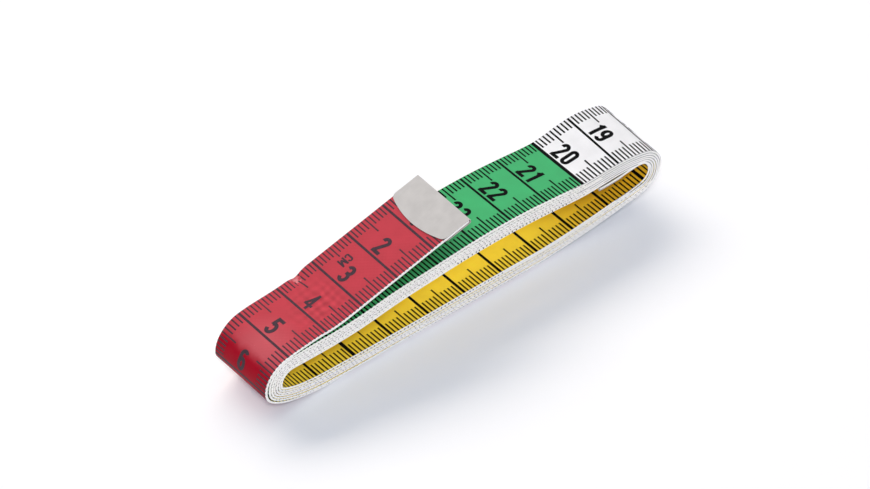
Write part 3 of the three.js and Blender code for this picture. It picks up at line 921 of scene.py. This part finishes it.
def print_parts(first, last):
    """Flat points and faces of what is printed on one stretch, front and back."""
    rows = [(FRONT_PRINT_END, INNERMOST_RUNS[0][0], FRONT, BETWEEN_LAPS)]
    rows += [(*run_ends, FRONT, INNERMOST) for run_ends in INNERMOST_RUNS]
    rows += [(BACK_TAIL_END, BACK_PRINT_FROM, BACK, BETWEEN_LAPS)]
    parts = []
    for run_from, run_to, face, sizes in rows:
        for low, high in dotted(first, last, run_from, run_to):
            parts.append(marks_mesh(low, high, face, **sizes))
    if first < FRONT_PRINT_END:
        end = min(last, FRONT_PRINT_END)
        if first < DECADE:
            parts.append(marks_mesh(first, min(end, DECADE), FRONT, Tick=RED_TICK))
        if end > DECADE:
            parts.append(marks_mesh(max(first, DECADE + 1), end, FRONT))
        for mark in range(math.ceil(first / CENTIMETRE), int(end // CENTIMETRE) + 1):
            text = str(mark)
            aside = ONE_DIGIT_ASIDE if len(text) == 1 else TWO_DIGIT_ASIDE
            parts.append(number_on_line(text, mark * CENTIMETRE, -1, half_thickness, aside))
        if first < UNIT_FROM < last:
            parts.append(unit_mark())
    for low, high in ((first, min(last, BACK_TAIL_END)), (max(first, BACK_PRINT_FROM), last)):
        if high > low:
            parts.append(marks_mesh(low, high, BACK))
            marks = math.ceil((BACK_ZERO - high) / CENTIMETRE), int((BACK_ZERO - low) // CENTIMETRE)
            for mark in range(max(1, marks[0]), marks[1] + 1):
                line = BACK_ZERO - mark * CENTIMETRE
                if line + NUMBER_BASE + GLYPH_HEIGHT + STROKE < high:
                    parts.append(number_on_line(str(mark), line, 1, -half_thickness, BACK_ASIDE))
    return parts


print(f"front printed to {FRONT_PRINT_END} mm, back from {BACK_PRINT_FROM} mm")

# %% Wind the print


def outward(points, faces):
    """Turns faces round where their closed shell would have its inside out."""
    p = np.asarray(points)
    volume = sum(np.dot(p[f[0]], np.cross(p[f[i]], p[f[i + 1]])) for f in faces for i in range(1, len(f) - 1))
    return faces if volume > 0 else [f[::-1] for f in faces]


def print_piece(name, first, last):
    points, faces, slots = [], [], []
    for flat, sides in print_parts(first, last):
        placed = wound(*flat.T)
        sides = outward((placed - placed.mean(0)) / MM, sides)
        faces += [[i + len(points) for i in side] for side in sides]
        slots += [int(flat[0, 2] > 0 and decade_face(flat[side, 0].mean()) == 0) for side in sides]
        points += list(placed)
    print(f"{name}: {len(faces)} faces")
    return new_object(name, new_mesh(name, points, faces, (black_ink, red_ink), slots))


prints = {name: print_piece(f"{name}_print", first, last) for name, first, last, *_ in stretches}

# %% [markdown]
# ## The metal caps
# Each end of the strip is gripped by one piece of sheet metal, folded round it and pressed flat. The inner
# edge bows towards the scale and its corners are rounded off. The cap is built as a folded sheet with a real
# wall, its edges broken by a small bevel, then set on the strip like the print. The inner cap is pressed
# flatter, to fit under the laps. The eye gets a soft grey metal, cloudy and faintly brushed. Its sheared rim
# is dull, and its dark grey is partly painted shade, for the thin shadow line along the cap's edge.

# %% Satin sheet metal
BRUSH_MM, BRUSH_STRETCH, CLOUD_MM = 0.25, (0.12, 1.0, 0.12), 3.0
BRUSH_BUMP = {"Strength": 0.08, "Distance": 0.02 * MM}
CLOUD_SHADE, BRUSH_ROUGH = {3: 0.93, 4: 1.04}, {3: 0.34, 4: 0.48}

metal, tree = new_material("satin pressed aluminium sheet")
place = add(tree, "ShaderNodeTexCoord").outputs["Object"]
stretch = add(tree, "ShaderNodeMapping", {"Vector": place, "Scale": BRUSH_STRETCH})
brushed = add(tree, "ShaderNodeTexNoise", {"Vector": stretch, "Scale": 1 / (BRUSH_MM * MM), "Detail": 4.0})
cloud = add(tree, "ShaderNodeTexNoise", {"Vector": place, "Scale": 1 / (CLOUD_MM * MM), "Detail": 2.0})
tone = add(tree, "ShaderNodeMapRange", {0: cloud, **NOISE_SPAN, **CLOUD_SHADE})
base = add(tree, "ShaderNodeMix", {"Factor": 1.0, "A": linear("CECAC8"), "B": tone}, **TINT)
rough = add(tree, "ShaderNodeMapRange", {0: brushed, **NOISE_SPAN, **BRUSH_ROUGH})
bump = add(tree, "ShaderNodeBump", {"Height": brushed, **BRUSH_BUMP})
surface = add(tree, "ShaderNodeBsdfPrincipled",
              {"Base Color": base.outputs["Result"], "Metallic": 1.0, "Roughness": rough, "Normal": bump})
add(tree, "ShaderNodeOutputMaterial", {"Surface": surface})
# The rim's dark grey is partly its dull sheared edge and partly painted shade, for the thin shadow line along
# the cap's inner edge.
sheared = plain_finish("sheared sheet edge, dull, with painted shade", "5B5655", 0.2, grain_mm=0.2, rough=0.6)
print("metal:", metal.name, "and", sheared.name)

# %% The folded sheet, flat
CAP_HALF, CAP_INSIDE = 0.62, 0.4
CAP_LIP, CAP_LIP_LENGTH = 0.54, 0.3
CAP_WIDTH = TAPE_WIDTH + 0.05
CAP_SIDE, CAP_BOW, CAP_CORNER = 7.1, 1.8, 0.9
CAP_TIP, CAP_FOLD = -0.35, 0.25
PLATE_STEPS, FOLD_STEPS, CAP_COLUMNS = 12, 10, 41


def plate_length(y):
    bow = CAP_SIDE + CAP_BOW * (1 - (2 * y / CAP_WIDTH) ** 2)
    past = max(0.0, abs(y) - CAP_WIDTH / 2 + CAP_CORNER) / CAP_CORNER
    return bow - CAP_CORNER * (1 - math.sqrt(max(0.0, 1 - past * past)))


def cap_column(y):
    """Points at one place across, outside then inside: along the upper plate, round the fold and back."""
    reach = plate_length(y)
    fold_at = CAP_TIP + CAP_FOLD
    plate = reach - (reach - fold_at) * np.linspace(0, 1, PLATE_STEPS + 1) ** 2
    lip = CAP_HALF - (CAP_HALF - CAP_LIP) * (1 - smooth(reach - plate, 0, CAP_LIP_LENGTH))
    points = []
    for rises, depth in ((lip, CAP_FOLD), (np.full_like(lip, CAP_INSIDE), CAP_FOLD / 2)):
        points += [(s, y, n) for s, n in zip(plate[:-1], rises)]
        for a in np.linspace(math.pi / 2, 3 * math.pi / 2, FOLD_STEPS + 1):
            points.append((fold_at + depth * math.cos(a), y, rises[-1] * math.sin(a)))
        points += [(s, y, -n) for s, n in zip(plate[::-1][1:], rises[::-1][1:])]
    return points


def cap_faces(row):
    """Faces of a sheet with so many points in a row, and which of them are the plates' sheared rims."""
    faces, rim = [], set()
    for c in range(CAP_COLUMNS - 1):
        for i in range(row - 1):
            a, b = 2 * row * c + i, 2 * row * (c + 1) + i
            faces.append((a, a + 1, b + 1, b))
            faces.append((a + row, b + row, b + row + 1, a + row + 1))
        for i in (0, row - 1):
            a, b = 2 * row * c + i, 2 * row * (c + 1) + i
            rim.add(len(faces))
            faces.append((a, b, b + row, a + row) if i == 0 else (a, a + row, b + row, b))
    for c in (0, CAP_COLUMNS - 1):
        for i in range(row - 1):
            a = 2 * row * c + i
            faces.append((a, a + row, a + row + 1, a + 1) if c == 0 else (a, a + 1, a + row + 1, a + row))
    return faces, rim


print(f"plates reach {plate_length(0):.1f} mm along the strip at the middle")

# %% Caps on both ends
INNER_CAP_PRESS = 0.75
CAP_BEVEL, BEVEL_STEPS, BEVEL_OVER = 0.05, 2, math.radians(50)


def cap_piece(name, from_tip, press=1.0):
    """A cap laid out flat, then wound on; from_tip turns a distance from the tip into a place along."""
    places = CAP_WIDTH / 2 * np.sin(np.linspace(-math.pi / 2, math.pi / 2, CAP_COLUMNS))
    points = [point for y in places for point in cap_column(y)]
    faces, rim = cap_faces(len(points) // CAP_COLUMNS // 2)
    slots = [int(k in rim) for k in range(len(faces))]
    blank = new_object("cap blank", new_mesh("cap blank", points, faces, (metal, sheared), slots))
    bevel = blank.modifiers.new("edges", "BEVEL")
    bevel.width, bevel.segments, bevel.angle_limit = CAP_BEVEL, BEVEL_STEPS, BEVEL_OVER
    made = applied(blank)
    s, y, n = mesh_points(made).T
    placed = wound(from_tip(s), y, n * press)
    made.vertices.foreach_set("co", placed.ravel())
    sides = [list(p.vertices) for p in made.polygons]
    if outward((placed - placed.mean(0)) / MM, sides) is not sides:
        made.flip_normals()
    soften(made)
    made.name = name
    print(f"{name}: {len(made.polygons)} faces")
    return new_object(name, made)


outer_cap = cap_piece("cap_outer", lambda s: s)
inner_cap = cap_piece("cap_inner", lambda s: STRIP_LENGTH - s, INNER_CAP_PRESS)

# %% [markdown]
# ## Tie the pieces to the frame
# The wound laps, with their print, ride on the coil, and the caps on the ends; the stretches that flex, with
# their print, stay where they were laid. Each piece hides the solid that it stands for.

# %% Bodies, and the solids hidden


def move_with(piece, bodies):
    if bodies is None:
        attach(piece, "coil")
    else:
        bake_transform(piece)


for name, first, last, bodies, node_name, slot_name in stretches:
    for piece in (strips[name], prints[name]):
        move_with(piece, bodies)
    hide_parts(node_name)
    print(f"{name} stands for {node_name}")
caps = ((outer_cap, "free_end_4", "end_cap"), (inner_cap, "inner_end", "inner_end_cap"))
for piece, body, node_name in caps:
    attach(piece, body)
    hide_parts(node_name)

# %% [markdown]
# ## Floor and light
# The tape lies on white paper in a studio. A wide light stands behind it, so the shadow falls softly towards
# the viewer. A small fill stands near the camera, where its own shadow hides behind the tape, and a low card
# in front brightens the cut edges. For the camera, and in mirrors and glass, the floor adds a little white
# and the world is white: the empty ground turns paper white, and the tape's shadow stays on it.

# %% Floor and world
FLOOR_Z = (CENTRE_DEPTH - half_thickness) * MM
FLOOR_SIZE = 6.0
FLOOR_LIFT = 0.155
WORLD_LEVEL = 0.2


def looked_at(tree):
    """One for rays that show the surroundings to the eye: straight, mirrored or through glass."""
    rays = add(tree, "ShaderNodeLightPath").outputs
    seen = rays["Is Camera Ray"]
    for other in ("Is Glossy Ray", "Is Transmission Ray"):
        seen = add(tree, "ShaderNodeMath", {0: seen, 1: rays[other]}, operation="MAXIMUM")
    return seen


paper, tree = new_material("white paper ground")
strength = add(tree, "ShaderNodeMath", {0: looked_at(tree), 1: FLOOR_LIFT}, operation="MULTIPLY")
matt = add(tree, "ShaderNodeBsdfDiffuse", {"Color": linear("F4F5F6")})
lift = add(tree, "ShaderNodeEmission", {"Color": linear("DAE6FF"), "Strength": strength})
both = add(tree, "ShaderNodeAddShader", {0: matt, 1: lift})
add(tree, "ShaderNodeOutputMaterial", {"Surface": both})
ground = [(x * FLOOR_SIZE / 2, y * FLOOR_SIZE / 2, FLOOR_Z) for x, y in ((-1, -1), (1, -1), (1, 1), (-1, 1))]
floor = new_object("floor", new_mesh("floor", ground, [(0, 1, 2, 3)], (paper,), [0]))

world = bpy.data.worlds.new("studio")
bpy.context.scene.world = world
world.use_nodes = True
tree = world.node_tree
tree.nodes.clear()
fill = add(tree, "ShaderNodeBackground", {"Color": linear("DCE6FF"), "Strength": WORLD_LEVEL})
white = add(tree, "ShaderNodeBackground", {"Color": linear("FFFFFF"), "Strength": 1.0})
shown = add(tree, "ShaderNodeMixShader", {0: looked_at(tree), 1: fill, 2: white})
add(tree, "ShaderNodeOutputWorld", {"Surface": shown})
print(f"floor at {FLOOR_Z / MM:.2f} mm")

# %% Lamps


def area_light(name, place, width, height, power, colour="FFFFFF"):
    lamp = bpy.data.lights.new(name, "AREA")
    lamp.shape, lamp.size, lamp.size_y = "ELLIPSE", width, height
    lamp.energy, lamp.color = power, linear(colour)[:3]
    light = new_object(name, lamp)
    light.location = place
    light.visible_glossy = False
    light.rotation_euler = (-Vector(place)).to_track_quat("-Z", "Y").to_euler()
    print(f"{name}: {power} W at {place}")


area_light("key light", (0.35, 1.78, 1.52), width=3.5, height=1.1, power=56.0, colour="FFF4E6")
area_light("overhead box", (0.25, 1.6, 2.3), width=2.4, height=2.4, power=4.0)
area_light("low front card", (0.2, -2.6, 0.4), width=0.7, height=0.7, power=17.0)
area_light("front fill", (-1.15, -1.39, 2.0), width=0.6, height=0.6, power=28.0)

# %% [markdown]
# ## Camera
# The camera's place and lens were fitted to the printed centimetre lines, which are known to be ten
# millimetres apart. It is a long lens, so the far end of the coil is hardly smaller than the near one.

# %% Camera
CAMERA_MM = (-594.15, -715.95, 875.65)
AZIMUTH, ELEVATION = math.radians(39.6), math.radians(42.88)
FOCAL_PIXELS, IMAGE_WIDTH, SENSOR = 6011.0, 870, 36.0

camera_data = bpy.data.cameras.new("camera")
camera_data.sensor_width = SENSOR
camera_data.lens = FOCAL_PIXELS / IMAGE_WIDTH * SENSOR
camera_data.clip_start, camera_data.clip_end = 0.05, 50.0
camera = new_object("camera", camera_data)
right = Vector((math.cos(AZIMUTH), -math.sin(AZIMUTH), 0))
level = math.cos(ELEVATION)
forward = Vector((math.sin(AZIMUTH) * level, math.cos(AZIMUTH) * level, -math.sin(ELEVATION)))
turned = Matrix((right, right.cross(forward), -forward)).transposed().to_4x4()
camera.matrix_world = Matrix.Translation(Vector(CAMERA_MM) * MM) @ turned
bpy.context.scene.camera = camera
bpy.context.scene.view_settings.view_transform = "Standard"
print(f"lens {camera_data.lens:.0f} mm")
